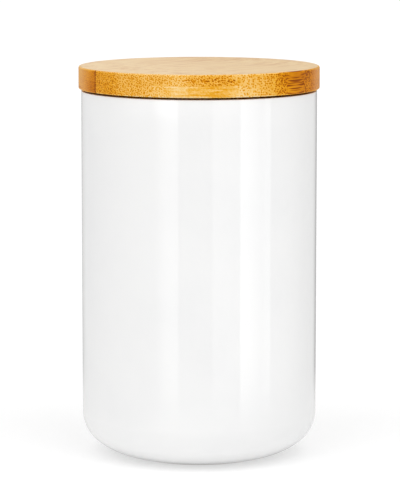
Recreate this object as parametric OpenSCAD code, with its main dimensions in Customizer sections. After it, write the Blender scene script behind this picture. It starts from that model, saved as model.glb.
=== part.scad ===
// Storage canister: a glazed ceramic jar with a push-in bamboo lid.
// The lid is turned from a board of glued bamboo slats. Its flange covers the
// rim, and its plug carries a finned silicone seal that grips the mouth.
// Millimetres, +Z up. The origin is the centre of the foot, on the surface
// that the jar stands on.

/* [Jar] */
// Outside diameter of the jar's wall
jar_d = 100; // [86:1:130]
// Height of the jar, from the face of its foot to its rim
jar_h = 156; // [100:0.2:220]
// Thickness of the side wall
wall = 4.5; // [3.5:0.1:6]
// Thickness of the floor, over the recess in the foot
floor_t = 5; // [4:0.1:8]
// Radius of the tight arc by which the wall turns into the base, outside
base_side_round = 15; // [12:0.5:18]
// Angle through which that tight arc turns
base_turn = 50; // [40:1:60]
// Radius of the wide arc that runs on from it, under the base
base_under_round = 28; // [24:0.5:40]
// Radius of the round between wall and floor, inside
inner_round = 13.5; // [8:0.5:18]
// Radius of the rim's outer edge
rim_outer_round = 0.3; // [0.2:0.1:2]
// Radius of the rim's inner edge
rim_inner_round = 1.2; // [0.5:0.1:1.4]

/* [Foot] */
// Height of the foot ring below the base
foot_h = 0.3; // [0.3:0.1:1.3]
// Width of the bare ring that the jar stands on
foot_w = 2.8; // [2:0.1:5]
// Distance from the outside of the wall in to the foot ring
foot_setback = 20.6; // [18:0.2:24]
// Radius of the foot ring's two edges
foot_round = 0.3; // [0.2:0.05:0.6]
// Depth of the recess inside the foot ring
recess_h = 1.6; // [1:0.1:3]
// Radius of the hollow corner round the recess
recess_round = 1; // [0.4:0.1:1.4]

/* [Lid] */
// How far the lid's flange stands out past the jar's wall
lid_overhang = 1.1; // [0.5:0.1:4]
// Gap between the rim and the underside of the flange
lid_gap = 0.9; // [0.3:0.1:0.9]
// Thickness of one ply of bamboo
ply_t = 4.75; // [4.6:0.05:6]
// Width of one bamboo slat, from glue line to glue line
slat_w = 22; // [18:0.5:30]
// Angle from the X axis to the bamboo's grain, as the lid stands turned
grain_angle = 45; // [0:1:90]
// Radius of the flange's top edge
lid_top_round = 0.8; // [0.4:0.1:2]
// Radius of the flange's bottom edge
lid_bottom_round = 0.5; // [0.4:0.1:2.4]
// Gap between the plug and the mouth, all round
plug_gap = 1.6; // [1:0.1:2]
// Bevel round the plug's lower edge
plug_bevel = 1; // [0.4:0.1:1.2]

/* [Seal] */
// Distance from the flange down to the seal's groove
groove_land = 1.8; // [1:0.1:2.2]
// Height of the groove
groove_h = 5.4; // [4.4:0.1:5.8]
// Depth of the groove in the plug
groove_depth = 2.6; // [2.4:0.1:4]
// Thickness of the seal's band, which lies in the groove
band_t = 2; // [1.4:0.1:2.2]
// Radius of the band's four edges
band_round = 0.3; // [0.1:0.05:0.5]
// Number of fins round the seal
fin_count = 3; // [2:1:4]
// Thickness of a fin at the band
fin_root_t = 0.9; // [0.6:0.05:1.1]
// Thickness of a fin at its round tip
fin_tip_t = 0.5; // [0.3:0.05:0.6]
// Height by which a fin's tip stands above its root
fin_rise = 0.4; // [0:0.05:0.6]
// Gap between the fins' tips and the mouth
fin_gap = 0.3; // [0.15:0.05:0.5]
// Clearance between the seal and its groove, on every side
seal_clearance = 0.1; // [0.05:0.05:0.2]

/* [Hidden] */
$fn = 128;
// Every cut runs this far past the face that it opens
overrun = 1;

jar_r = jar_d / 2;
mouth_r = jar_r - wall;
floor_z = recess_h + floor_t;
// How far in and how far up the base's curve reaches, over both of its arcs
base_run = base_side_round + (base_under_round - base_side_round) * cos(base_turn);
base_rise = base_under_round - (base_under_round - base_side_round) * sin(base_turn);
foot_outer_r = jar_r - foot_setback;
foot_inner_r = foot_outer_r - foot_w;

// Plies in the thickness of the flange, and in the height of the plug
flange_plies = 2;
plug_plies = 2;
lid_r = jar_r + lid_overhang;
lid_z = jar_h + lid_gap;
lid_top_z = lid_z + flange_plies * ply_t;
plug_h = plug_plies * ply_t;
plug_r = mouth_r - plug_gap;

groove_r = plug_r - groove_depth;
groove_z = lid_z - groove_land - groove_h;

seal_h = groove_h - 2 * seal_clearance;
seal_z = groove_z + seal_clearance;
band_inner_r = groove_r + seal_clearance;
band_outer_r = band_inner_r + band_t;
fin_tip_r = mouth_r - fin_gap;
fin_pitch = seal_h / fin_count;

// Glue lines between slats, from one side of the board to the other. Those of
// the plug are half a slat off those of the flange, so no joint goes right through.
flange_joints = [for (half = [-3:2:3]) half * slat_w / 2];
plug_joints = [for (half = [-2:2:2]) half * slat_w / 2];
// The plies, from the top of the lid down
PLY_NAMES = ["lid_top", "lid_under", "plug_upper", "plug_lower"];
plies = len(PLY_NAMES);

GLAZE = [0.95, 0.95, 0.94];
SILICONE = [0.88, 0.90, 0.90];
// Neighbouring slats differ a little in tone, as strips of bamboo do
BAMBOO = [[0.90, 0.66, 0.31], [0.93, 0.70, 0.36], [0.88, 0.63, 0.28], [0.92, 0.71, 0.39]];

// The edges of a ply's slats: its glue lines, and a line past each side of the lid
function slat_edges(ply) = concat(
    [-lid_r - overrun],
    ply < flange_plies ? flange_joints : plug_joints,
    [lid_r + overrun]
);
function slats(ply) = len(slat_edges(ply)) - 1;
function slat_name(ply, slat) = str(PLY_NAMES[ply], "_slat_", slat + 1);
function slat_colour(ply, slat) = BAMBOO[(2 * ply + slat) % len(BAMBOO)];

// What a round of radius r takes off a square corner. The corner is at the
// origin, and the solid lies towards +X and +Y.
module corner_waste(r) {
    difference() {
        translate([-overrun, -overrun]) square(r + overrun);
        translate([r, r]) circle(r);
    }
}

// What the base's curve takes off a square corner that lies as above. The tight arc
// leaves the side, and the wide one takes over where both have the same direction.
module base_waste() {
    turning_x = base_side_round * (1 - cos(base_turn));
    difference() {
        translate([-overrun, -overrun]) square([base_run + overrun, base_rise + overrun]);
        translate([base_side_round, base_rise]) circle(base_side_round);
        intersection() {
            translate([base_run, base_under_round]) circle(base_under_round);
            translate([turning_x, 0]) square([base_run, base_rise]);
        }
    }
}

// A rectangle from the origin with a round of radius r on its four corners.
module soft_rectangle(w, h, r) {
    difference() {
        square([w, h]);
        corner_waste(r);
        translate([w, 0]) mirror([1, 0]) corner_waste(r);
        translate([0, h]) mirror([0, 1]) corner_waste(r);
        translate([w, h]) rotate(180) corner_waste(r);
    }
}

// Half section of the jar's inside, open past the rim.
module hollow_profile() {
    difference() {
        translate([0, floor_z]) square([mouth_r, jar_h - floor_z + overrun]);
        translate([mouth_r, floor_z]) mirror([1, 0]) corner_waste(inner_round);
    }
}

// Half section of the recess under the base, inside the foot ring.
module recess_profile() {
    difference() {
        translate([0, -overrun]) square([foot_inner_r, recess_h + overrun]);
        translate([foot_inner_r, recess_h]) rotate(180) corner_waste(recess_round);
    }
}

// Half section of the foot ring. It rises into the base by the floor's thickness.
module foot_profile() {
    difference() {
        translate([foot_inner_r, 0]) square([foot_w, foot_h + floor_t]);
        translate([foot_inner_r, 0]) corner_waste(foot_round);
        translate([foot_outer_r, 0]) mirror([1, 0]) corner_waste(foot_round);
    }
}

// Half section of the jar's wall and base.
module shell_profile() {
    difference() {
        translate([0, foot_h]) square([jar_r, jar_h - foot_h]);
        translate([jar_r, foot_h]) mirror([1, 0]) base_waste();
        translate([jar_r, jar_h]) rotate(180) corner_waste(rim_outer_round);
        hollow_profile();
        translate([mouth_r, jar_h]) mirror([0, 1]) corner_waste(rim_inner_round);
    }
}

module jar() {
    color(GLAZE)
    rotate_extrude()
    difference() {
        union() {
            shell_profile();
            foot_profile();
        }
        recess_profile();
    }
}

// Half section of the lid's flange.
module flange_profile() {
    difference() {
        translate([0, lid_z]) square([lid_r, lid_top_z - lid_z]);
        translate([lid_r, lid_z]) mirror([1, 0]) corner_waste(lid_bottom_round);
        translate([lid_r, lid_top_z]) rotate(180) corner_waste(lid_top_round);
    }
}

// Half section of the plug, with the seal's groove and a bevelled lower edge.
module plug_profile() {
    difference() {
        translate([0, lid_z - plug_h]) square([plug_r, plug_h]);
        translate([groove_r, groove_z]) square([groove_depth + overrun, groove_h]);
        translate([plug_r, lid_z - plug_h])
        polygon([
            [-plug_bevel - overrun, -overrun],
            [overrun, -overrun],
            [overrun, plug_bevel + overrun]
        ]);
    }
}

// One slat: the turned lid, between two glue lines and within one ply.
module bamboo_slat(ply, slat) {
    edges = slat_edges(ply);
    color(slat_colour(ply, slat))
    intersection() {
        rotate_extrude()
        if (ply < flange_plies) flange_profile();
        else plug_profile();

        rotate(grain_angle)
        translate([-lid_r - overrun, edges[slat], lid_top_z - (ply + 1) * ply_t])
        cube([2 * (lid_r + overrun), edges[slat + 1] - edges[slat], ply_t]);
    }
}

// Half section of one fin, from inside the band out to its round tip. Its
// root's middle is at height 0.
module fin_profile() {
    tip_middle_r = fin_tip_r - fin_tip_t / 2;
    translate([tip_middle_r, fin_rise]) circle(fin_tip_t / 2);
    polygon([
        [band_outer_r - band_t / 2, -fin_root_t / 2],
        [band_outer_r, -fin_root_t / 2],
        [tip_middle_r, fin_rise - fin_tip_t / 2],
        [tip_middle_r, fin_rise + fin_tip_t / 2],
        [band_outer_r, fin_root_t / 2],
        [band_outer_r - band_t / 2, fin_root_t / 2]
    ]);
}

module seal_ring() {
    color(SILICONE)
    rotate_extrude()
    union() {
        translate([band_inner_r, seal_z]) soft_rectangle(band_t, seal_h, band_round);
        for (fin = [0:fin_count - 1])
            translate([0, seal_z + (fin + 1 / 2) * fin_pitch]) fin_profile();
    }
}

jar();
seal_ring();
for (ply = [0:plies - 1], slat = [0:slats(ply) - 1])
    bamboo_slat(ply, slat);
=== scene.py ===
# %% [markdown]
# # A storage canister
# The real object is a glazed white porcelain jar with a push-in bamboo lid. The lid is turned from
# a glued board of bamboo slats, and a silicone ring in a groove of its plug grips the mouth.
# This lesson dresses the measured frame of that canister: each cell makes one piece or one finish,
# and says how the real one comes to look as it does.

# %% Load the measured frame
import math
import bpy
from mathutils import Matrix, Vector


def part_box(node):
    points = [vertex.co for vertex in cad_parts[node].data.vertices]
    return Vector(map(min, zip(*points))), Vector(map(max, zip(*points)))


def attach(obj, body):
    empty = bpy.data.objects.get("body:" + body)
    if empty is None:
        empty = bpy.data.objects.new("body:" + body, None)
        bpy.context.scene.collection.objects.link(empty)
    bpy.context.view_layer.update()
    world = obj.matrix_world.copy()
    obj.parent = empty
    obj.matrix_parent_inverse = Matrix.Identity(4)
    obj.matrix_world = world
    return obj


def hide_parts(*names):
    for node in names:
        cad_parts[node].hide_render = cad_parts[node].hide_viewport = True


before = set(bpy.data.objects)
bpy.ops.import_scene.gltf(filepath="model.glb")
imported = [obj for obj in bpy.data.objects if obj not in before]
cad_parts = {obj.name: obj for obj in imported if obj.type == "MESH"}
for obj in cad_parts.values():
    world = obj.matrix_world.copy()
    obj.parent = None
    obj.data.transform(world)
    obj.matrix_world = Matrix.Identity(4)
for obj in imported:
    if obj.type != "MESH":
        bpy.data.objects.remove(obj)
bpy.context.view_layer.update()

from types import SimpleNamespace

import bmesh
import bpy
from mathutils import Vector

# %% [markdown]
# The frame knows how large each piece is, so the outer sizes are read from it and typed nowhere.
# Only what a box can't tell is a value here: the radius of a round, the thickness of a wall. Those are
# in millimetres times MM, because Blender counts in metres.

# %% Read the sizes of the jar, the lid and the seal
MM = 0.001
jar_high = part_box("jar")[1]
jar_radius = jar_high.x
rim_height = jar_high.z
front_slat_low, front_slat_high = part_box("lid_top_slat_1")
lid_radius = front_slat_high.x
lid_top = front_slat_high.z
flange_seam = front_slat_low.z
flange_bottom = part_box("lid_under_slat_1")[0].z
plug_low, plug_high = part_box("plug_lower_slat_1")
plug_radius = plug_high.x
plug_seam = plug_high.z
plug_bottom = plug_low.z
seal_low, seal_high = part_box("seal_ring")
print("jar radius", round(jar_radius / MM, 2), "rim at", round(rim_height / MM, 2))
print("lid radius", round(lid_radius / MM, 2), "and top", round(lid_top / MM, 2))
print("plug radius", round(plug_radius / MM, 2), "down to", round(plug_bottom / MM, 2))

# %% [markdown]
# ## The camera comes first
# The product was photographed with a long lens from a little above the lid, so its sides stay almost
# parallel and both ends of the canister show as flat ellipses. A camera on a tripod is set by a few
# numbers: how far away, how high, how far to the side, how far it tips down, and the lens. They were
# fitted to the outlines of the lid and of the base. Distances are in metres, the film and the lens in
# millimetres, and the tip in radians.

# %% Set up the camera
CAMERA_DISTANCE = 1.268
CAMERA_HEIGHT = 0.2624
CAMERA_SIDEWAYS = 0.38 * MM
CAMERA_TIP = 0.1371
FILM_HEIGHT = 36.0
LENS = 215.7


def make_camera():
    """Adds the camera, on its tripod in front of the jar."""
    data = bpy.data.cameras.new("product_camera")
    data.sensor_fit = "VERTICAL"
    data.sensor_height = FILM_HEIGHT
    data.lens = LENS
    camera = bpy.data.objects.new("product_camera", data)
    camera.location = (CAMERA_SIDEWAYS, -CAMERA_DISTANCE, CAMERA_HEIGHT)
    camera.rotation_euler = (math.pi / 2 - CAMERA_TIP, 0, 0)
    bpy.context.scene.collection.objects.link(camera)
    bpy.context.scene.camera = camera
    return camera


camera = make_camera()
print("camera looks down by", round(math.degrees(CAMERA_TIP), 2), "degrees")

# %% [markdown]
# ## Turned forms
# A potter's jar, a lathe-turned lid and a moulded ring are all the same kind of form: one half section
# carried round an axis. It could be cut from a cylinder, but then every round would be a separate cut.
# Here a section is a chain of corners, each with its own round. A round is made as a compass draws it:
# one vertex at the tangent point, spun about the centre of the arc.

# %% A helper that draws a half section
ARC_LENGTH = 0.5 * MM
FEWEST_ARC_STEPS = 4
MOST_ARC_STEPS = 24
WELD = 0.001 * MM


def add_corner(shape, before, place, after, round_radius):
    """Adds a corner to the chain, as a point or as a tangent arc, and returns its first and last vertex."""
    if not round_radius:
        point = shape.verts.new(place)
        return point, point
    way_in = (place - before).normalized()
    way_out = (after - place).normalized()
    turning = way_in.angle(way_out)
    inwards = (way_out - way_in * way_in.dot(way_out)).normalized()
    tangent = place - way_in * round_radius * math.tan(turning / 2)
    first = shape.verts.new(tangent)
    steps = int(turning * round_radius / ARC_LENGTH)
    steps = min(max(steps, FEWEST_ARC_STEPS), MOST_ARC_STEPS)
    arc = bmesh.ops.spin(shape, geom=[first], cent=tangent + inwards * round_radius,
                         axis=way_in.cross(way_out).normalized(), dvec=(0, 0, 0), angle=turning, steps=steps,
                         use_merge=False)
    last = [part for part in arc["geom_last"] if isinstance(part, bmesh.types.BMVert)][0]
    return first, last


def section_chain(corners, closed):
    """A bmesh with one chain of edges in the XZ plane. Each corner is (radius, height, round)."""
    shape = bmesh.new()
    places = [Vector((radius, 0, height)) for radius, height, _ in corners]
    ends = []
    for number, (place, corner) in enumerate(zip(places, corners)):
        after = places[(number + 1) % len(places)]
        ends.append(add_corner(shape, places[number - 1], place, after, corner[2]))
    links = list(zip(ends, ends[1:]))
    if closed:
        links.append((ends[-1], ends[0]))
    for (_, last), (first, _) in links:
        shape.edges.new((last, first))
    bmesh.ops.remove_doubles(shape, verts=shape.verts, dist=WELD)
    return shape


# %% [markdown]
# One more spin turns the whole chain into a solid. Its first and last edges meet on the axis, where the
# spin leaves many vertices in one place, so the poles are welded. Shading is smooth everywhere but at
# real creases, and weighted by area, so that a large flat stays flat up to its round edge.

# %% A helper that turns a half section
TURN_STEPS = 256
SHARP_FROM = math.radians(32)


def turn(corners, closed=False):
    """Spins a half section once round Z, welds the poles and points the faces outwards."""
    shape = section_chain(corners, closed)
    bmesh.ops.spin(shape, geom=shape.verts[:] + shape.edges[:], cent=(0, 0, 0), axis=(0, 0, 1),
                   dvec=(0, 0, 0), angle=math.tau, steps=TURN_STEPS, use_merge=True)
    bmesh.ops.remove_doubles(shape, verts=shape.verts, dist=WELD)
    bmesh.ops.recalc_face_normals(shape, faces=shape.faces)
    return shape


def finish_piece(shape, name):
    """Turns a bmesh into an object with smooth faces, sharp creases and even shading on its flats."""
    mesh = bpy.data.meshes.new(name)
    for face in shape.faces:
        face.smooth = True
    shape.to_mesh(mesh)
    print(name, "has", len(shape.faces), "faces,", sum(not e.is_manifold for e in shape.edges), "open edges")
    shape.free()
    mesh.set_sharp_from_angle(angle=SHARP_FROM)
    piece = bpy.data.objects.new(name, mesh)
    bpy.context.scene.collection.objects.link(piece)
    shading = piece.modifiers.new("even_shading", "WEIGHTED_NORMAL")
    shading.mode = "FACE_AREA"
    shading.keep_sharp = True
    return piece


# %% [markdown]
# ## The porcelain jar
# Slip-cast porcelain has an even wall and a soft curve where wall turns into base. A single arc looks
# mechanical there. The real curve leaves the wall tightly and runs out wide under the base, so it is
# two arcs that share a tangent. The jar stands on a low foot ring that is wiped clean of glaze, so that
# it doesn't stick to the kiln shelf.

# %% Make the jar
WALL = 4.5 * MM
FLOOR = 5 * MM
BASE_SIDE_ROUND = 15 * MM
BASE_TURN = math.radians(50)
BASE_UNDER_ROUND = 28 * MM
INNER_ROUND = 13.5 * MM
RIM_OUTER_ROUND = 0.3 * MM
RIM_INNER_ROUND = 1.2 * MM
FOOT_HEIGHT = 0.3 * MM
FOOT_WIDTH = 2.8 * MM
FOOT_SETBACK = 20.6 * MM
FOOT_ROUND = 0.3 * MM
RECESS_HEIGHT = 1.6 * MM
RECESS_ROUND = 1 * MM
mouth_radius = jar_radius - WALL
foot_outer = jar_radius - FOOT_SETBACK
foot_inner = foot_outer - FOOT_WIDTH


def base_corners():
    """The outside of the base as three corners, from the foot ring to the wall."""
    widening = BASE_UNDER_ROUND - BASE_SIDE_ROUND
    under_centre = jar_radius - BASE_SIDE_ROUND - widening * math.cos(BASE_TURN)
    rise = BASE_UNDER_ROUND - widening * math.sin(BASE_TURN)
    meeting = Vector((jar_radius - BASE_SIDE_ROUND * (1 - math.cos(BASE_TURN)),
                      FOOT_HEIGHT + rise - BASE_SIDE_ROUND * math.sin(BASE_TURN)))
    shared_tangent = Vector((math.sin(BASE_TURN), math.cos(BASE_TURN)))
    foot_slope = math.asin((foot_outer - under_centre) / BASE_UNDER_ROUND)
    foot_join = FOOT_HEIGHT + BASE_UNDER_ROUND * (1 - math.cos(foot_slope))
    under_turn = math.pi / 2 - BASE_TURN - foot_slope
    under = meeting - shared_tangent * BASE_UNDER_ROUND * math.tan(under_turn / 2)
    side = meeting + shared_tangent * BASE_SIDE_ROUND * math.tan(BASE_TURN / 2)
    return [(foot_outer, foot_join, 0), (*under, BASE_UNDER_ROUND), (*side, BASE_SIDE_ROUND)]


jar_section = [
    (0, RECESS_HEIGHT, 0),
    (foot_inner, RECESS_HEIGHT, RECESS_ROUND),
    (foot_inner, 0, FOOT_ROUND),
    (foot_outer, 0, FOOT_ROUND),
    *base_corners(),
    (jar_radius, rim_height, RIM_OUTER_ROUND),
    (mouth_radius, rim_height, RIM_INNER_ROUND),
    (mouth_radius, RECESS_HEIGHT + FLOOR, INNER_ROUND),
    (0, RECESS_HEIGHT + FLOOR, 0),
]
jar = finish_piece(turn(jar_section), "porcelain_jar")

# %% [markdown]
# ## The silicone seal
# The ring is moulded in one piece: a flat band that sits in the groove, and thin fins that lean upwards
# so that the lid goes in easily and comes out with a tug. Its section is a closed chain, so the same
# helper turns it into a ring with no poles.

# %% Make the seal
BAND_WIDTH = 2 * MM
BAND_ROUND = 0.3 * MM
FIN_COUNT = 3
FIN_ROOT = 0.9 * MM
FIN_TIP = 0.5 * MM
FIN_TIP_ROUND = 0.24 * MM
FIN_RISE = 0.4 * MM
GROOVE_DEPTH = 2.6 * MM
SEAL_CLEARANCE = 0.1 * MM
groove_radius = plug_radius - GROOVE_DEPTH
groove_low = seal_low.z - SEAL_CLEARANCE
groove_high = seal_high.z + SEAL_CLEARANCE
band_inner = groove_radius + SEAL_CLEARANCE
band_outer = band_inner + BAND_WIDTH
fin_reach = seal_high.x


def fin_corners(root_height):
    """The corners of one fin, from its lower root round the tip to its upper root."""
    tip_height = root_height + FIN_RISE
    return [
        (band_outer, root_height - FIN_ROOT / 2, 0),
        (fin_reach, tip_height - FIN_TIP / 2, FIN_TIP_ROUND),
        (fin_reach, tip_height + FIN_TIP / 2, FIN_TIP_ROUND),
        (band_outer, root_height + FIN_ROOT / 2, 0),
    ]


fin_pitch = (seal_high.z - seal_low.z) / FIN_COUNT
seal_section = [(band_inner, seal_low.z, BAND_ROUND), (band_outer, seal_low.z, BAND_ROUND)]
for fin in range(FIN_COUNT):
    seal_section += fin_corners(seal_low.z + (fin + 0.5) * fin_pitch)
seal_section += [(band_outer, seal_high.z, BAND_ROUND), (band_inner, seal_high.z, BAND_ROUND)]
seal = finish_piece(turn(seal_section, closed=True), "silicone_seal")

# %% [markdown]
# ## The bamboo lid
# Bamboo is a hollow stalk with a wall of only a few millimetres, so no board can be sawn from it. The
# stalk is split into strips, the strips are planed and glued side by side, and such boards are glued
# on top of each other. The lid is turned from that board. So each ply is turned whole here, and then
# cut along its glue lines, which keeps the round edge in one line across all slats.

# %% Turn the four plies
SLAT_WIDTH = 22 * MM
GRAIN_ANGLE = math.radians(45)
LID_TOP_ROUND = 0.8 * MM
LID_BOTTOM_ROUND = 0.5 * MM
PLUG_BEVEL = 1 * MM
ply_sections = {
    "lid_top": [
        (0, flange_seam, 0),
        (lid_radius, flange_seam, 0),
        (lid_radius, lid_top, LID_TOP_ROUND),
        (0, lid_top, 0),
    ],
    "lid_under": [
        (0, flange_bottom, 0),
        (lid_radius, flange_bottom, LID_BOTTOM_ROUND),
        (lid_radius, flange_seam, 0),
        (0, flange_seam, 0),
    ],
    "plug_upper": [
        (0, plug_seam, 0),
        (groove_radius, plug_seam, 0),
        (groove_radius, groove_high, 0),
        (plug_radius, groove_high, 0),
        (plug_radius, flange_bottom, 0),
        (0, flange_bottom, 0),
    ],
    "plug_lower": [
        (0, plug_bottom, 0),
        (plug_radius - PLUG_BEVEL, plug_bottom, 0),
        (plug_radius, plug_bottom + PLUG_BEVEL, 0),
        (plug_radius, groove_low, 0),
        (groove_radius, groove_low, 0),
        (groove_radius, plug_seam, 0),
        (0, plug_seam, 0),
    ],
}
flange_joints = [half * SLAT_WIDTH / 2 for half in (-3, -1, 1, 3)]
plug_joints = [half * SLAT_WIDTH / 2 for half in (-2, 0, 2)]
joints_of = {"lid_top": flange_joints, "lid_under": flange_joints,
             "plug_upper": plug_joints, "plug_lower": plug_joints}
print("glue lines of the disc at", [round(joint / MM) for joint in flange_joints], "mm across the grain")

# %% [markdown]
# A plane that cuts a closed mesh leaves it open, so each cut is closed again with one flat face. The
# direction across the slats is the grain's direction turned by a quarter.

# %% Cut the plies into slats
across_grain = Vector((-math.sin(GRAIN_ANGLE), math.cos(GRAIN_ANGLE), 0))


def cut_away(shape, distance, keep_inside):
    """Cuts along the glue plane at that distance across the grain and closes the cut."""
    parts = shape.verts[:] + shape.edges[:] + shape.faces[:]
    cut = bmesh.ops.bisect_plane(shape, geom=parts, dist=WELD, plane_co=across_grain * distance,
                                 plane_no=across_grain, clear_outer=keep_inside, clear_inner=not keep_inside)
    rim = [part for part in cut["geom_cut"] if isinstance(part, bmesh.types.BMEdge)]
    bmesh.ops.contextual_create(shape, geom=rim)


def make_slats(ply):
    """All slats of one ply, from the front right of the lid to its back left."""
    whole = turn(ply_sections[ply])
    edges = [None] + joints_of[ply] + [None]
    slats = []
    for number, (near, far) in enumerate(zip(edges, edges[1:]), start=1):
        shape = whole.copy()
        if far is not None:
            cut_away(shape, far, keep_inside=True)
        if near is not None:
            cut_away(shape, near, keep_inside=False)
        bmesh.ops.recalc_face_normals(shape, faces=shape.faces)
        slats.append(finish_piece(shape, f"bamboo_{ply}_{number}"))
    whole.free()
    return slats


slats = {ply: make_slats(ply) for ply in ply_sections}
print("cut", sum(len(pieces) for pieces in slats.values()), "slats from", len(slats), "plies")

# %% [markdown]
# ## Wiring materials
# A procedural finish is a sum of patterns, and as nodes that sum gets long. Small helpers keep it
# readable: one adds a node and feeds it, one does arithmetic, one turns a value into a soft step, and
# the others are the patterns and mixes that every finish here uses.

# %% Helpers for materials
def add(tree, kind, inputs=(), **settings):
    """Adds a node, sets it, and feeds its sockets with numbers, colours or other sockets."""
    node = tree.nodes.new(kind)
    for name, value in settings.items():
        setattr(node, name, value)
    for key, value in dict(inputs).items():
        if isinstance(value, bpy.types.NodeSocket):
            tree.links.new(value, node.inputs[key])
        else:
            node.inputs[key].default_value = value
    return node


def maths(tree, operation, *values):
    """One step of arithmetic on numbers or sockets."""
    return add(tree, "ShaderNodeMath", enumerate(values), operation=operation).outputs[0]


def soft_step(tree, value, start, end, low=0.0, high=1.0):
    """Low before start, high after end, and a smooth rise between them."""
    inputs = {"Value": value, "From Min": start, "From Max": end, "To Min": low, "To Max": high}
    return add(tree, "ShaderNodeMapRange", inputs, interpolation_type="SMOOTHSTEP").outputs["Result"]


def zone(tree, value, start, full, fade, end):
    """A mask that rises from start to full and falls from fade to end."""
    rise = soft_step(tree, value, start, full)
    return maths(tree, "MULTIPLY", rise, soft_step(tree, value, fade, end, 1, 0))


def new_material(name):
    """A material with one principled shader, its tree and that shader."""
    material = bpy.data.materials.new(name)
    material.use_nodes = True
    return material, material.node_tree, material.node_tree.nodes["Principled BSDF"]


def in_millimetres(tree, turn_back=0.0):
    """The object's own coordinates in millimetres, turned back by an angle about Z."""
    place = add(tree, "ShaderNodeTexCoord").outputs["Object"]
    inputs = {"Vector": place, "Rotation": (0, 0, -turn_back), "Scale": (1 / MM, 1 / MM, 1 / MM)}
    return add(tree, "ShaderNodeMapping", inputs).outputs["Vector"]


def noise(tree, vector, scale, detail=2.0, roughness=0.5):
    """A soft noise from 0 to 1, with scale in cells per unit of the vector."""
    inputs = {"Vector": vector, "Scale": scale, "Detail": detail, "Roughness": roughness}
    return add(tree, "ShaderNodeTexNoise", inputs).outputs["Fac"]


def about_zero(tree, value):
    """The same pattern, moved down so that its middle is zero."""
    return maths(tree, "SUBTRACT", value, 0.5)


def mix_colours(tree, share, first, second):
    """The first colour where share is 0, the second where it is 1. Sockets 6, 7 and 2 hold colours."""
    return add(tree, "ShaderNodeMix", {0: share, 6: first, 7: second}, data_type="RGBA").outputs[2]


def blend_values(tree, share, first, second):
    """The first number where share is 0, the second where it is 1."""
    return add(tree, "ShaderNodeMix", {0: share, 2: first, 3: second}, data_type="FLOAT").outputs[0]


def bump(tree, height, strength, distance):
    """A normal that follows a height, with distance in metres."""
    inputs = {"Height": height, "Strength": strength, "Distance": distance}
    return add(tree, "ShaderNodeBump", inputs).outputs["Normal"]


# %% [markdown]
# ## The glaze
# White glaze is a sheet of glass over white clay: a bright, neutral body under a clean reflection. It is
# never quite flat. It settles with a faint ripple, and it is a little thinner and less white in some
# places than in others. The foot ring has no glaze, so it is matt, warmer and slightly gritty. Heights
# and sizes in a finish are in millimetres, and a pattern's fineness is in cells per millimetre.

# %% Make the glaze
GLAZE_WHITE = (0.875, 0.875, 0.872, 1)
GLAZE_THIN = (0.85, 0.851, 0.852, 1)
CLOUD_FINENESS = 0.03
CLOUD_RISE = (0.35, 0.75)
RIPPLE_FINENESS = 0.16
GLAZE_ROUGHNESS = (0.03, 0.045)
GLAZE_RELIEF = (0.35, 0.012 * MM)
BARE_BELOW = (0.35, 0.15)
BARE_CLAY = (0.72, 0.70, 0.665, 1)
CLAY_ROUGHNESS = 0.75
GRIT_FINENESS = 3.5
GRIT_RISE = (0.55, 0.75, 0, 0.5)
GRIT_RELIEF = 0.05


def make_glaze():
    """Glazed porcelain, with a bare foot ring."""
    material, tree, shader = new_material("glazed_porcelain")
    place = in_millimetres(tree)
    cloud = soft_step(tree, noise(tree, place, CLOUD_FINENESS, detail=3), *CLOUD_RISE)
    glazed = mix_colours(tree, cloud, GLAZE_WHITE, GLAZE_THIN)
    height = add(tree, "ShaderNodeSeparateXYZ", {"Vector": place}).outputs["Z"]
    bare = soft_step(tree, height, *BARE_BELOW)
    grit = noise(tree, place, GRIT_FINENESS, detail=4)
    clay = mix_colours(tree, soft_step(tree, grit, *GRIT_RISE), BARE_CLAY, GLAZE_WHITE)
    tree.links.new(mix_colours(tree, bare, glazed, clay), shader.inputs["Base Color"])
    gloss = soft_step(tree, cloud, 0, 1, *GLAZE_ROUGHNESS)
    tree.links.new(soft_step(tree, bare, 0, 1, gloss, CLAY_ROUGHNESS), shader.inputs["Roughness"])
    ripple = noise(tree, place, RIPPLE_FINENESS, detail=2)
    relief = maths(tree, "MULTIPLY_ADD", maths(tree, "MULTIPLY", grit, bare), GRIT_RELIEF, ripple)
    tree.links.new(bump(tree, relief, *GLAZE_RELIEF), shader.inputs["Normal"])
    return material


glaze = make_glaze()
print("glaze is wired with", len(glaze.node_tree.nodes), "nodes")

# %% [markdown]
# ## The silicone
# Food-grade silicone is milky: it lets a little light in and has a soft, slightly dusty sheen. A fine
# texture from the mould keeps it from sticking.

# %% Make the silicone
SILICONE_WHITE = (0.80, 0.81, 0.81, 1)
SILICONE_MILKY = (0.72, 0.74, 0.745, 1)
MILK_FINENESS = 0.12
MILK_RISE = (0.3, 0.8)
MILKINESS = 0.15
MILK_DEPTH = 0.8 * MM
DUST_FINENESS = 2.5
DUST_ROUGHNESS = (0.3, 0.7, 0.38, 0.55)
DUST_RELIEF = (0.25, 0.02 * MM)


def make_silicone():
    """Milky silicone with a fine moulded texture."""
    material, tree, shader = new_material("silicone")
    place = in_millimetres(tree)
    milk = soft_step(tree, noise(tree, place, MILK_FINENESS, detail=3), *MILK_RISE)
    tree.links.new(mix_colours(tree, milk, SILICONE_WHITE, SILICONE_MILKY), shader.inputs["Base Color"])
    dust = noise(tree, place, DUST_FINENESS, detail=3)
    tree.links.new(soft_step(tree, dust, *DUST_ROUGHNESS), shader.inputs["Roughness"])
    tree.links.new(bump(tree, dust, *DUST_RELIEF), shader.inputs["Normal"])
    shader.inputs["Subsurface Weight"].default_value = MILKINESS
    shader.inputs["Subsurface Scale"].default_value = MILK_DEPTH
    return material


silicone = make_silicone()
print("silicone is wired with", len(silicone.node_tree.nodes), "nodes")

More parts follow.
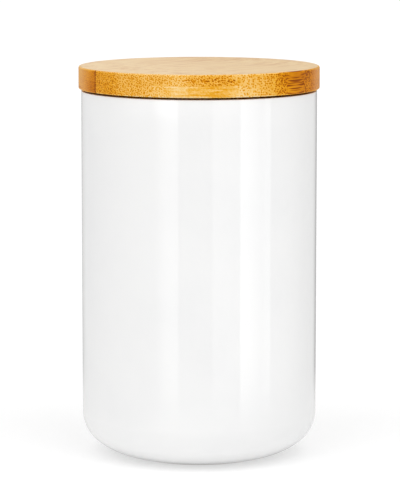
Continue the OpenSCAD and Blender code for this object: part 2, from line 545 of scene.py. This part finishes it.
# %% [markdown]
# ## The bamboo
# A strip of bamboo is pale wood with dark bundles of fibre that all run along the stalk. Cut across, the
# bundles are dots; cut along, the same bundles are streaks; and where the round edge just grazes a
# strip, they draw long lens shapes. One solid pattern gives all three if it is stretched along the grain
# and stays in place in the wood. All colour goes through one scale of tones, from burnt fibre to pith,
# so that every pattern only has to say how much darker or paler it is.

# %% The scale of bamboo tones
BAMBOO_TONES = (
    (0.0, (0.25, 0.055, 0.001, 1)),
    (0.15, (0.43, 0.115, 0.001, 1)),
    (0.3, (0.61, 0.20, 0.002, 1)),
    (0.45, (0.75, 0.30, 0.006, 1)),
    (0.6, (0.82, 0.40, 0.03, 1)),
    (0.68, (0.845, 0.46, 0.08, 1)),
    (0.75, (0.87, 0.51, 0.125, 1)),
    (0.88, (0.90, 0.60, 0.22, 1)),
    (1.0, (0.91, 0.67, 0.36, 1)),
)
TOP_TONES = (
    (0.0, (0.74, 0.45, 0.22, 1)),
    (0.5, (0.87, 0.60, 0.32, 1)),
    (1.0, (0.95, 0.71, 0.41, 1)),
)


def ramp(tree, share, stops):
    """Colours along a share from 0 to 1. The stops are pairs of a place and a colour, in rising order."""
    node = add(tree, "ShaderNodeValToRGB", {"Fac": share})
    elements = node.color_ramp.elements
    elements[0].position, elements[0].color = stops[0]
    elements[1].position, elements[1].color = stops[-1]
    for place, colour in stops[1:-1]:
        elements.new(place).color = colour
    return node.outputs["Color"]


def curve(tree, value, points):
    """A line through points of (value, result), with results from 0 to 1."""
    first, last = points[0][0], points[-1][0]
    inputs = {"Value": value, "From Min": first, "From Max": last}
    share = add(tree, "ShaderNodeMapRange", inputs).outputs["Result"]
    stops = [((place - first) / (last - first), (tone, tone, tone, 1)) for place, tone in points]
    return ramp(tree, share, stops)


print("bamboo has", len(BAMBOO_TONES), "tones on its edge and", len(TOP_TONES), "on its sanded top")

# %% [markdown]
# A turner sees the same board in four ways: the sanded top, the turned edge, the underside and the plug.
# So the first thing that the finish has to know is where in the board a point lies. That is kept as one
# spot, which holds the distances along and across the grain, the height, and a mask for each part. The
# plug's slats lie half a slat off those above, so a place on the board counts from there.

# %% Find a spot in the board
EDGE_SKIN = 0.6
EDGE_FADE = 0.3
TOP_SKIN = 0.3
TOP_FADE = 0.15


def find_spot(tree):
    """Where a point of the lid lies in its board, in millimetres, with masks for the parts of the lid."""
    spot = SimpleNamespace(place=in_millimetres(tree, turn_back=GRAIN_ANGLE))
    parts = add(tree, "ShaderNodeSeparateXYZ", {"Vector": spot.place}).outputs
    spot.along, spot.across, spot.height = parts
    level = add(tree, "ShaderNodeCombineXYZ", {"X": spot.along, "Y": spot.across}).outputs["Vector"]
    radius = add(tree, "ShaderNodeVectorMath", {"Vector": level}, operation="LENGTH").outputs["Value"]
    skin = lid_radius / MM - EDGE_SKIN
    spot.inside = soft_step(tree, radius, skin, skin - EDGE_FADE)
    spot.edge = maths(tree, "SUBTRACT", 1, spot.inside)
    skin = lid_top / MM - TOP_SKIN
    uppermost = soft_step(tree, spot.height, skin, skin + TOP_FADE)
    spot.top = maths(tree, "MULTIPLY", spot.inside, uppermost)
    spot.lower = maths(tree, "LESS_THAN", spot.height, flange_seam / MM)
    spot.in_front_slat = maths(tree, "LESS_THAN", spot.across, flange_joints[0] / MM)
    in_plug = maths(tree, "LESS_THAN", spot.height, flange_bottom / MM)
    spot.board = maths(tree, "MULTIPLY_ADD", in_plug, SLAT_WIDTH / MM / 2, spot.across)
    return spot


# %% [markdown]
# Each slat is from another stalk, or from another height of one, so its tone changes at a glue line and
# drifts from one side of the slat to the other. The turned edge shows mostly cut fibre ends, which
# drink up the oil and go deeper in colour than the flat top. The front slat also changes along its
# length: it has an amber node, where a branch once grew, and gets dark near the skin of the stalk. The
# curves are pairs of a place in millimetres and a tone, for the upper and for the lower ply. The plug and
# the underside are painted much darker than the top, as painted shade that deepens the gap under the disc.

# %% Tones of the slats
ACROSS_TONES = (
    ((-33, 0.68), (-27.8, 0.70), (-21.6, 0.60), (-11.2, 0.58), (-10.8, 0.62), (-6, 0.60), (-1, 0.47),
     (6, 0.46), (10.9, 0.44), (11.1, 0.31), (15, 0.37), (20, 0.41), (26, 0.48), (50, 0.48)),
    ((-33, 0.75), (-27.8, 0.78), (-21.6, 0.70), (-11.2, 0.57), (-10.8, 0.61), (-6, 0.59), (-1, 0.47),
     (6, 0.44), (10.9, 0.42), (11.1, 0.17), (15, 0.22), (20, 0.36), (26, 0.47), (50, 0.48)),
)
ALONG_TONES = (
    ((-39, 0.60), (-34, 0.55), (-28, 0.54), (-22, 0.60), (-15, 0.59), (-8, 0.54), (-1, 0.30), (6, 0.18),
     (13, 0.16), (20, 0.28), (26, 0.36), (40, 0.44)),
    ((-39, 0.71), (-34, 0.65), (-28, 0.66), (-22, 0.78), (-15, 0.66), (-8, 0.54), (-1, 0.36), (6, 0.29),
     (13, 0.15), (20, 0.27), (26, 0.36), (40, 0.44)),
)
FLAT_TONES = ((-50, 0.85), (-33.1, 0.84), (-32.9, 0.76), (-11.1, 0.80), (-10.9, 0.84), (10.9, 0.80),
              (11.1, 0.76), (32.9, 0.76), (33.1, 0.72), (50, 0.72))
# How much darker the plug and the underside are painted, as painted shade in the gap under the disc.
HIDDEN_SHADE = 0.42


def plain_tone(tree, spot, flat_tone):
    """The tone of the wood without its fibres, on the turned edge, and darker as painted shade on the hidden
    faces.
    """
    tones = []
    for across_points, along_points in zip(ACROSS_TONES, ALONG_TONES):
        others = curve(tree, spot.across, across_points)
        front = curve(tree, spot.along, along_points)
        tones.append(blend_values(tree, spot.in_front_slat, others, front))
    edge_tone = blend_values(tree, spot.lower, *tones)
    # The faces under the disc are painted darker than the top: painted shade.
    painted_shade_tone = maths(tree, "SUBTRACT", flat_tone, HIDDEN_SHADE)
    return blend_values(tree, spot.inside, edge_tone, painted_shade_tone)


# %% [markdown]
# The bundles are the cells of a flat Voronoi pattern that is drawn through the whole length of a slat.
# Each slat gets its own part of the pattern, so it breaks off at the glue lines. The front slat's
# fibres lean a little, and bow upwards, which moves the lens to one side and bends it to a smile.

# %% Follow the fibres
GRAIN_STRETCH = 0.03
SLAT_SHIFT = (0, 7.3, 15.1, 22.7, 31.9)
PLY_SHIFT = 11.7
LEAN = -0.114
BOW = 0.008
LENS_MIDDLE = 6


def follow_fibres(tree, spot):
    """Adds coordinates that follow the fibres: slowly along the grain, then across it, then up."""
    shift = maths(tree, "MULTIPLY", spot.lower, PLY_SHIFT)
    for joint, before, after in zip(flange_joints, SLAT_SHIFT, SLAT_SHIFT[1:]):
        past = maths(tree, "GREATER_THAN", spot.board, joint / MM)
        shift = maths(tree, "MULTIPLY_ADD", past, after - before, shift)
    lean = maths(tree, "MULTIPLY", maths(tree, "MULTIPLY", spot.along, LEAN), spot.in_front_slat)
    sideways = maths(tree, "ADD", maths(tree, "ADD", spot.across, lean), shift)
    spot.from_lens = maths(tree, "SUBTRACT", spot.along, LENS_MIDDLE)
    square = maths(tree, "MULTIPLY", spot.from_lens, spot.from_lens)
    upwards = maths(tree, "MULTIPLY_ADD", square, -BOW, spot.height)
    inputs = {"X": maths(tree, "MULTIPLY", spot.along, GRAIN_STRETCH), "Y": sideways, "Z": upwards}
    spot.fibres = add(tree, "ShaderNodeCombineXYZ", inputs).outputs["Vector"]


# %% [markdown]
# Near the node and near the skin the front slat's fibres turn every which way, so its edge is cut
# through round cells there, and the dots come from a solid Voronoi pattern. The lens in the middle
# keeps the long cells.

# %% Draw the bundles
BUNDLE_PITCH = 0.85
BUNDLE_DISORDER = 0.75
LENS = (4, 7)
TURNED_FROM = (-27, -21)
TURNED_PITCH = 0.9
TURNED_DISORDER = 0.7
TURNED_GROWTH = 0.85


def bundle_distance(tree, spot):
    """How far a point is from the middle of its fibre bundle, in shares of the pitch."""
    section = add(tree, "ShaderNodeSeparateXYZ", {"Vector": spot.fibres}).outputs
    flat = add(tree, "ShaderNodeCombineXYZ", {"X": section["Y"], "Y": section["Z"]}).outputs["Vector"]
    inputs = {"Vector": flat, "Scale": 1 / BUNDLE_PITCH, "Randomness": BUNDLE_DISORDER}
    straight = add(tree, "ShaderNodeTexVoronoi", inputs, voronoi_dimensions="2D").outputs["Distance"]
    inputs = {"Vector": spot.place, "Scale": 1 / TURNED_PITCH, "Randomness": TURNED_DISORDER}
    turned = add(tree, "ShaderNodeTexVoronoi", inputs).outputs["Distance"]
    outside_lens = soft_step(tree, maths(tree, "ABSOLUTE", spot.from_lens), *LENS)
    turning = maths(tree, "MULTIPLY", outside_lens, soft_step(tree, spot.along, *TURNED_FROM))
    turning = maths(tree, "MULTIPLY", turning, maths(tree, "MULTIPLY", spot.in_front_slat, spot.edge))
    return blend_values(tree, turning, straight, maths(tree, "MULTIPLY", turned, TURNED_GROWTH))


# %% [markdown]
# At a node the wood is knotted: a row of small dark knots runs through the upper ply, and in the ply
# below it the fibres bend round and show as long, nearly level streaks.

# %% Draw the node
KNOT_PITCH = 1.3
KNOT_DISORDER = 0.9
KNOT_SIZE = (0.42, 0.28)
KNOT_SOFTNESS = (1.5, 0.6)
KNOT_HEIGHT = 2.2
KNOT_WANDER = 2.4
WANDER_FINENESS = 0.6
KNOT_REACH = (-42, -38, -25, -21)
STREAK_REACH = (-47, -42, -26, -21)
STREAK_STRETCH = 0.07
BEND_FINENESS = 1.3


def knots(tree, spot):
    """A row of small dark knots at the node, in the middle of the upper ply."""
    inputs = {"W": spot.along, "Scale": 1 / KNOT_PITCH, "Randomness": KNOT_DISORDER}
    row = add(tree, "ShaderNodeTexVoronoi", inputs, voronoi_dimensions="1D").outputs["Distance"]
    sideways = maths(tree, "MULTIPLY", row, KNOT_PITCH / KNOT_SIZE[0])
    inputs = {"W": spot.along, "Scale": WANDER_FINENESS}
    wander = add(tree, "ShaderNodeTexNoise", inputs, noise_dimensions="1D").outputs["Fac"]
    lowest = flange_seam / MM + KNOT_HEIGHT - KNOT_WANDER / 2
    middle = maths(tree, "MULTIPLY_ADD", wander, KNOT_WANDER, lowest)
    upwards = maths(tree, "DIVIDE", maths(tree, "SUBTRACT", spot.height, middle), KNOT_SIZE[1])
    square = maths(tree, "MULTIPLY", sideways, sideways)
    away = maths(tree, "SQRT", maths(tree, "MULTIPLY_ADD", upwards, upwards, square))
    knot = soft_step(tree, away, *KNOT_SOFTNESS)
    knot = maths(tree, "MULTIPLY", knot, zone(tree, spot.along, *KNOT_REACH))
    return maths(tree, "MULTIPLY", knot, spot.edge)


def bent_streaks(tree, spot):
    """Long level streaks where the fibres bend round under the node, as a value about zero."""
    arc = maths(tree, "MULTIPLY", maths(tree, "ARCTAN2", spot.along, spot.across), lid_radius / MM)
    drawn = {"X": maths(tree, "MULTIPLY", arc, STREAK_STRETCH), "Z": spot.height}
    drawn = add(tree, "ShaderNodeCombineXYZ", drawn).outputs["Vector"]
    return about_zero(tree, noise(tree, drawn, BEND_FINENESS, detail=3, roughness=0.6))


# %% [markdown]
# Each bundle is a dark dot in a pale sheath. Fine streaks and a slow drift of tone run along the fibres
# between them. Far from the node, on both sides of the lid, the wood is closer and so its pattern is
# calmer, and under the node the bent streaks take the place of the dots.

# %% Sum up the fibres
DOT_SIZE = (0.42, 0.16)
DOT_STRENGTH = 0.30
SHEATH_SIZE = (0.35, 0.5, 0.55, 0.75)
SHEATH_STRENGTH = 0.16
STREAK_FINENESS = 0.9
STREAK_STRENGTH = 0.45
DRIFT_FINENESS = 0.13
DRIFT_STRENGTH = 0.25
BEND_STRENGTH = 1.3
DOTS_IN_BEND = 0.25
KNOT_STRENGTH = 0.4
CALM = 0.4
CALM_ACROSS = (10.9, 11.1)
CALM_ALONG = (17, 20)


def fibre_pattern(tree, spot):
    """How much paler the fibres make the wood, about zero. The spot keeps the dots and streaks."""
    away = bundle_distance(tree, spot)
    spot.dot = soft_step(tree, away, *DOT_SIZE)
    spot.streak = noise(tree, spot.fibres, STREAK_FINENESS, detail=4, roughness=0.6)
    bending = maths(tree, "MULTIPLY", zone(tree, spot.along, *STREAK_REACH), spot.lower)
    bending = maths(tree, "MULTIPLY", bending, spot.edge)
    pattern = maths(tree, "MULTIPLY", zone(tree, away, *SHEATH_SIZE), SHEATH_STRENGTH)
    pattern = maths(tree, "MULTIPLY_ADD", spot.dot, -DOT_STRENGTH, pattern)
    pattern = maths(tree, "MULTIPLY", pattern, blend_values(tree, bending, 1, DOTS_IN_BEND))
    pattern = maths(tree, "MULTIPLY_ADD", about_zero(tree, spot.streak), STREAK_STRENGTH, pattern)
    calm = soft_step(tree, spot.across, *CALM_ACROSS, 1, CALM)
    calm = maths(tree, "MULTIPLY", calm, soft_step(tree, spot.along, *CALM_ALONG, 1, CALM))
    pattern = maths(tree, "MULTIPLY", pattern, calm)
    drift = about_zero(tree, noise(tree, spot.fibres, DRIFT_FINENESS, detail=2))
    pattern = maths(tree, "MULTIPLY_ADD", drift, DRIFT_STRENGTH, pattern)
    bends = maths(tree, "MULTIPLY", bent_streaks(tree, spot), bending)
    pattern = maths(tree, "MULTIPLY_ADD", bends, BEND_STRENGTH, pattern)
    return maths(tree, "MULTIPLY_ADD", knots(tree, spot), -KNOT_STRENGTH, pattern)


# %% [markdown]
# A glue line is a hair of dark resin. It is only seen where the strips didn't quite meet, so one line is
# strong, the others are faint, and all of them break up into dots. The two edges of the disc are painted
# paler: partly wood that sandpaper left pale, partly a painted highlight along the rounds.

# %% Glue lines, and sanded edges with a painted highlight
GLUE_DARKNESS = (0.08, 0.06, 0.42, 0.10)
GLUE_WIDTH = (0.6, 0.25)
SEAM_DARKNESS = 0.05
SPECK_FINENESS = 1.4
SPECK_RISE = (0.35, 0.6, 0.35, 1.2)
# How much paler the disc's edges are painted: sanded wood and a painted highlight.
SANDED_AND_HIGHLIGHT = 0.2
SANDED_HIGHLIGHT_WIDTH = 0.6


def glue(tree, spot):
    """How much darker the glue makes the wood."""
    away = maths(tree, "ABSOLUTE", maths(tree, "SUBTRACT", spot.height, flange_seam / MM))
    total = soft_step(tree, away, GLUE_WIDTH[1], 0, 0, SEAM_DARKNESS)
    for joint, darkness in zip(flange_joints, GLUE_DARKNESS):
        away = maths(tree, "ABSOLUTE", maths(tree, "SUBTRACT", spot.board, joint / MM))
        total = maths(tree, "MULTIPLY_ADD", soft_step(tree, away, *GLUE_WIDTH), darkness, total)
    specks = noise(tree, spot.place, SPECK_FINENESS, detail=2)
    return maths(tree, "MULTIPLY", total, soft_step(tree, specks, *SPECK_RISE))


def sanded(tree, spot):
    """How much paler the disc's two edges are painted: partly sanded wood, partly a painted highlight."""
    high = lid_top / MM - SANDED_HIGHLIGHT_WIDTH
    low = flange_bottom / MM + SANDED_HIGHLIGHT_WIDTH
    fade = SANDED_HIGHLIGHT_WIDTH * 2 / 3
    upper = soft_step(tree, spot.height, high, high + fade)
    lower = soft_step(tree, spot.height, low, low - fade)
    return maths(tree, "MULTIPLY", maths(tree, "ADD", upper, lower), SANDED_AND_HIGHLIGHT)


# %% [markdown]
# The sanded top shows the fibres from the side, as long flat streaks in broad bands, and it gets a
# little deeper in colour towards the back. Two stretches of the turned edge, far from the node, are
# painted greyer, as a painted sheen on the two flanks of the edge.

# %% Colour the top and the edge
FLAT_LINES = 2.2
FLAT_BANDS = 3.2
BAND_FINENESS = 0.3
FLAT_FADE = (12, 45, 0, 0.33)
# The greyer colour, its share and its reach for the painted sheen on the two flanks of the edge.
FLANK_SHEEN = (0.70, 0.60, 0.50, 1)
FLANK_SHEEN_SHARE = 0.14
FLANK_SHEEN_ACROSS = (13, 27)
FLANK_SHEEN_ALONG = (17, 27)


def top_colour(tree, spot, flat_tone, resin):
    """The colour of the sanded top."""
    bands = about_zero(tree, noise(tree, spot.fibres, BAND_FINENESS, detail=3, roughness=0.6))
    tone = maths(tree, "MULTIPLY_ADD", bands, FLAT_BANDS, flat_tone)
    tone = maths(tree, "MULTIPLY_ADD", about_zero(tree, spot.streak), FLAT_LINES, tone)
    tone = maths(tree, "SUBTRACT", tone, resin)
    backwards = add(tree, "ShaderNodeSeparateXYZ", {"Vector": in_millimetres(tree)}).outputs["Y"]
    tone = maths(tree, "SUBTRACT", tone, soft_step(tree, backwards, *FLAT_FADE))
    return ramp(tree, tone, TOP_TONES)


def edge_colour(tree, spot, plain, pattern, resin):
    """The colour of the turned edge, and of all that lies under the lid."""
    tone = maths(tree, "SUBTRACT", maths(tree, "ADD", plain, pattern), resin)
    # The disc's two edges are painted paler: sanded wood and a painted highlight.
    tone = maths(tree, "MULTIPLY_ADD", sanded(tree, spot), spot.edge, tone)
    # The two flanks of the edge are painted greyer: a painted sheen.
    flank_sheen = soft_step(tree, spot.along, *FLANK_SHEEN_ALONG, 0, FLANK_SHEEN_SHARE)
    flank_sheen = maths(tree, "MULTIPLY", spot.in_front_slat, flank_sheen)
    flank_sheen = maths(tree, "ADD", flank_sheen, soft_step(tree, spot.across, *FLANK_SHEEN_ACROSS, 0, FLANK_SHEEN_SHARE))
    return mix_colours(tree, flank_sheen, ramp(tree, tone, BAMBOO_TONES), FLANK_SHEEN)


# %% [markdown]
# Now the parts are put together. Oiled cut ends hardly shine unless they are seen at a flat angle, and
# the sanded top has a soft sheen. The dots are a little sunk, because the soft pith between them swells
# with the oil.

# %% Make the bamboo
EDGE_SHINE = 0.04
FLAT_SHINE = 0.5
STREAK_ROUGHNESS = (0.3, 0.7, 0.34, 0.44)
BAMBOO_RELIEF = (0.3, 0.04 * MM)


def make_bamboo():
    """Laminated bamboo with fibre bundles, slat tones, a node and glue lines."""
    material, tree, shader = new_material("bamboo")
    spot = find_spot(tree)
    follow_fibres(tree, spot)
    pattern = fibre_pattern(tree, spot)
    resin = glue(tree, spot)
    flat_tone = curve(tree, spot.board, FLAT_TONES)
    edge = edge_colour(tree, spot, plain_tone(tree, spot, flat_tone), pattern, resin)
    colour = mix_colours(tree, spot.top, edge, top_colour(tree, spot, flat_tone, resin))
    tree.links.new(colour, shader.inputs["Base Color"])
    tree.links.new(soft_step(tree, spot.streak, *STREAK_ROUGHNESS), shader.inputs["Roughness"])
    shine = blend_values(tree, spot.top, EDGE_SHINE, FLAT_SHINE)
    tree.links.new(shine, shader.inputs["Specular IOR Level"])
    relief = maths(tree, "SUBTRACT", spot.streak, spot.dot)
    tree.links.new(bump(tree, relief, *BAMBOO_RELIEF), shader.inputs["Normal"])
    return material


bamboo = make_bamboo()
print("bamboo is wired with", len(bamboo.node_tree.nodes), "nodes")

# %% [markdown]
# ## Putting the pieces in the frame
# Each piece stands for a node of the frame, whose own mesh is hidden, moves with that node's body and
# gets its finish.

# %% Fit the pieces to the frame
def fit(piece, node, body, material):
    """Gives a piece its finish and its place among the moving bodies."""
    piece.data.materials.append(material)
    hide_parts(node)
    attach(piece, body)


fit(jar, "jar", "jar", glaze)
fit(seal, "seal_ring", "seal", silicone)
for ply, pieces in slats.items():
    for number, slat in enumerate(pieces, start=1):
        fit(slat, f"{ply}_slat_{number}", "lid", bamboo)
print("fitted", 2 + sum(len(pieces) for pieces in slats.values()), "pieces")

# %% [markdown]
# ## The floor
# A product shot on white has a floor that is pure white except where the jar keeps light from it. A
# white floor lit at a plain level comes out pale grey. So the camera sees a floor that is partly paint
# and partly glow: it reaches white, and the shadow under the jar stays as a soft, light grey. For matt
# surfaces the floor is white paint with a weak glow, as of a lit table, which fills the curve of the
# base from below. In the glaze only the floor close to the jar is mirrored, with its shadow; farther out
# it fades away, and the painted ground of the room takes its place.

# %% Make the floor
FLOOR_SIZE = 12
FLOOR_WHITE = (0.78, 0.78, 0.78, 1)
FLOOR_SEEN = (0.62, 0.62, 0.62, 1)
FLOOR_MIRRORED = (0.95, 0.95, 0.95, 1)
TABLE_GLOW = 0.28
FLOOR_GLOW = 0.41
MIRROR_FADE = (0.09, 0.25)


def paint_floor():
    """White paint that glows for the camera, and is gone from mirrors at a distance."""
    material, tree, shader = new_material("white_floor")
    shader.inputs["Roughness"].default_value = 1
    shader.inputs["Specular IOR Level"].default_value = 0
    shader.inputs["Emission Color"].default_value = (1, 1, 1, 1)
    path = add(tree, "ShaderNodeLightPath")
    glossy = path.outputs["Is Glossy Ray"]
    seen = path.outputs["Is Camera Ray"]
    paint = mix_colours(tree, glossy, FLOOR_WHITE, FLOOR_MIRRORED)
    tree.links.new(mix_colours(tree, seen, paint, FLOOR_SEEN), shader.inputs["Base Color"])
    glow = soft_step(tree, glossy, 0, 1, TABLE_GLOW, 0)
    tree.links.new(soft_step(tree, seen, 0, 1, glow, FLOOR_GLOW), shader.inputs["Emission Strength"])
    place = add(tree, "ShaderNodeTexCoord").outputs["Object"]
    distance = add(tree, "ShaderNodeVectorMath", {"Vector": place}, operation="LENGTH").outputs["Value"]
    gone = maths(tree, "MULTIPLY", glossy, soft_step(tree, distance, *MIRROR_FADE))
    clear = add(tree, "ShaderNodeBsdfTransparent").outputs["BSDF"]
    both = add(tree, "ShaderNodeMixShader", {0: gone, 1: shader.outputs["BSDF"], 2: clear})
    tree.links.new(both.outputs["Shader"], tree.nodes["Material Output"].inputs["Surface"])
    return material


def make_floor():
    """A wide white floor under the jar."""
    shape = bmesh.new()
    bmesh.ops.create_grid(shape, x_segments=1, y_segments=1, size=FLOOR_SIZE / 2)
    mesh = bpy.data.meshes.new("floor")
    shape.to_mesh(mesh)
    shape.free()
    mesh.materials.append(paint_floor())
    floor = bpy.data.objects.new("floor", mesh)
    bpy.context.scene.collection.objects.link(floor)
    return floor


floor = make_floor()
print("floor is", FLOOR_SIZE, "metres wide")

# %% [markdown]
# ## The studio
# Glaze shows the room it stands in. Two upright soft boxes, one each side of the camera, leave the pale
# bands down the jar, and the white room fills the rest. Here the room is the world, and what the glaze
# mirrors is a picture made of bands by compass angle, counted in degrees from the front to the right,
# over a ground that gets brighter towards the feet. Dark cards far behind the jar, the flags, draw its
# edges. The left box has a window in it, which ends in a crisp line below the rim, and the lit edge of
# the table lifts the glaze just under the lid. A band rises between its first two angles, falls
# between the next two, and ends with its glow.

# %% Paint the room for reflections
FRONT_GLOW = 0.4
SIDE_GLOW = 0.85
GROUND_GLOW_LEFT = 0.78
GROUND_GLOW_RIGHT = 0.70
GROUND_GLOW_BELOW = 1.0
SKY_TURN = (20, 100)
GROUND_TURN = (-90, 90)
GROUND_FALL = (-16, -30)
HORIZON = (-4, 2)
RIGHT_FLAG = (150, 164, 1, 0.35)
LEFT_FLAG = (-164, -150, 0.7, 1)
LEFT_BOX = (-46, -30, -21, -19.5, 1.2)
MIDDLE_PANEL = (12, 14, 40, 41, 0.8)
RIGHT_BOX = (40, 41, 73, 74.5, 2.7)
RIGHT_BOX_FADE = (41, 73, 1, 0.444)
RIGHT_SPILL = (60, 72, 80, 125, 0.7)
BOX_REACH = (-14, -9, 3, 9)
LEFT_WINDOW = (-46, -41, -21, -19.5, 1.0)
WINDOW_REACH = (-5.36, -5.32, 3, 9)
TABLE_EDGE = (-100, -50, 25, 65, 1.4)
EDGE_REACH = (-5.45, -4.95, -4, -2)


def band(tree, compass, start, full, fade, end, glow):
    """A band of light that rises from start to full and falls from fade to end."""
    return maths(tree, "MULTIPLY", zone(tree, compass, start, full, fade, end), glow)


def plain_room(tree, compass, elevation):
    """The white room without its boxes: sky, ground and the two flags."""
    sky = soft_step(tree, maths(tree, "ABSOLUTE", compass), *SKY_TURN, FRONT_GLOW, SIDE_GLOW)
    ground = soft_step(tree, compass, *GROUND_TURN, GROUND_GLOW_LEFT, GROUND_GLOW_RIGHT)
    ground = soft_step(tree, elevation, *GROUND_FALL, ground, GROUND_GLOW_BELOW)
    plain = soft_step(tree, elevation, *HORIZON, ground, sky)
    plain = maths(tree, "MULTIPLY", plain, soft_step(tree, compass, *RIGHT_FLAG))
    return maths(tree, "MULTIPLY", plain, soft_step(tree, compass, *LEFT_FLAG))


def mirrored_room(tree, compass, elevation):
    """What the glaze mirrors: the plain room with its boxes, the window and the table's edge."""
    boxes = maths(tree, "ADD", band(tree, compass, *LEFT_BOX), band(tree, compass, *MIDDLE_PANEL))
    fading = soft_step(tree, compass, *RIGHT_BOX_FADE)
    boxes = maths(tree, "MULTIPLY_ADD", band(tree, compass, *RIGHT_BOX), fading, boxes)
    boxes = maths(tree, "ADD", boxes, band(tree, compass, *RIGHT_SPILL))
    lights = [(boxes, BOX_REACH), (band(tree, compass, *LEFT_WINDOW), WINDOW_REACH),
              (band(tree, compass, *TABLE_EDGE), EDGE_REACH)]
    mirrored = plain_room(tree, compass, elevation)
    for light, reach in lights:
        mirrored = maths(tree, "MULTIPLY_ADD", light, zone(tree, elevation, *reach), mirrored)
    return mirrored


# %% [markdown]
# Matt surfaces would turn such a picture into noise, and they only need its sum. So for them the world
# is a plain fill, a little stronger from the front and from above than from the sides. To the camera it
# is pure white.

# %% Make the world
FRONT_FILL = 0.68
SIDE_FILL = 0.4
BACK_FILL = 0.4
TOP_FILL = 0.8
FRONT_TO_BACK = (-0.3, 0.3)


def matt_fill(tree, backwards, upwards):
    """The light that matt surfaces get, by the parts of a direction that point back and up."""
    end_fill = soft_step(tree, backwards, *FRONT_TO_BACK, FRONT_FILL - SIDE_FILL, BACK_FILL - SIDE_FILL)
    fill = maths(tree, "MULTIPLY_ADD", maths(tree, "MULTIPLY", backwards, backwards), end_fill, SIDE_FILL)
    rising = maths(tree, "MULTIPLY", upwards, upwards)
    return maths(tree, "MULTIPLY_ADD", rising, TOP_FILL - SIDE_FILL, fill)


def make_room():
    """The world: white to the camera, a plain fill for matt surfaces, and a picture for reflections."""
    world = bpy.data.worlds.new("studio")
    bpy.context.scene.world = world
    world.use_nodes = True
    world.cycles.sampling_method = "NONE"
    tree = world.node_tree
    direction = add(tree, "ShaderNodeTexCoord").outputs["Generated"]
    rightwards, backwards, upwards = add(tree, "ShaderNodeSeparateXYZ", {"Vector": direction}).outputs
    forwards = maths(tree, "MULTIPLY", backwards, -1)
    compass = maths(tree, "DEGREES", maths(tree, "ARCTAN2", rightwards, forwards))
    elevation = maths(tree, "DEGREES", maths(tree, "ARCSINE", upwards))
    path = add(tree, "ShaderNodeLightPath").outputs
    fill = matt_fill(tree, backwards, upwards)
    mirrored = mirrored_room(tree, compass, elevation)
    lit = soft_step(tree, path["Is Glossy Ray"], 0, 1, fill, mirrored)
    background = tree.nodes["Background"]
    background.inputs["Color"].default_value = (1, 1, 1, 1)
    strength = soft_step(tree, path["Is Camera Ray"], 0, 1, lit, 1)
    tree.links.new(strength, background.inputs["Strength"])
    return world


room = make_room()
print("room is wired with", len(room.node_tree.nodes), "nodes")

# %% [markdown]
# The soft boxes also throw light, which a flat white world doesn't. Two suns stand in for them, and a
# third for the box over the table, because a sun lights a small object evenly, and a wide angle makes
# its shadow as soft as a large box does. Reflections already show the boxes, so the suns are hidden.
# Each sun is set by its compass angle and its height in degrees, its strength, and its width in degrees.

# %% Hang the lamps
LAMPS = {
    "left_soft_box": (-45, 45, 0.55, 50),
    "right_soft_box": (45, 45, 0.55, 50),
    "top_soft_box": (0, 85, 0.5, 60),
}


def make_lamp(name, compass, elevation, strength, spread):
    """A sun with a wide disc. All angles are in degrees, and compass is counted from the front."""
    data = bpy.data.lights.new(name, "SUN")
    data.energy = strength
    data.angle = math.radians(spread)
    lamp = bpy.data.objects.new(name, data)
    lamp.rotation_euler = (math.pi / 2 - math.radians(elevation), 0, math.radians(compass))
    lamp.visible_camera = False
    lamp.visible_glossy = False
    bpy.context.scene.collection.objects.link(lamp)
    return lamp


lamps = [make_lamp(name, *setting) for name, setting in LAMPS.items()]
print("hung", [lamp.name for lamp in lamps])

# %% [markdown]
# ## Last settings
# The standard view transform shows a colour as it is written, which a white product needs.

# %% Set the view transform
bpy.context.scene.view_settings.view_transform = "Standard"
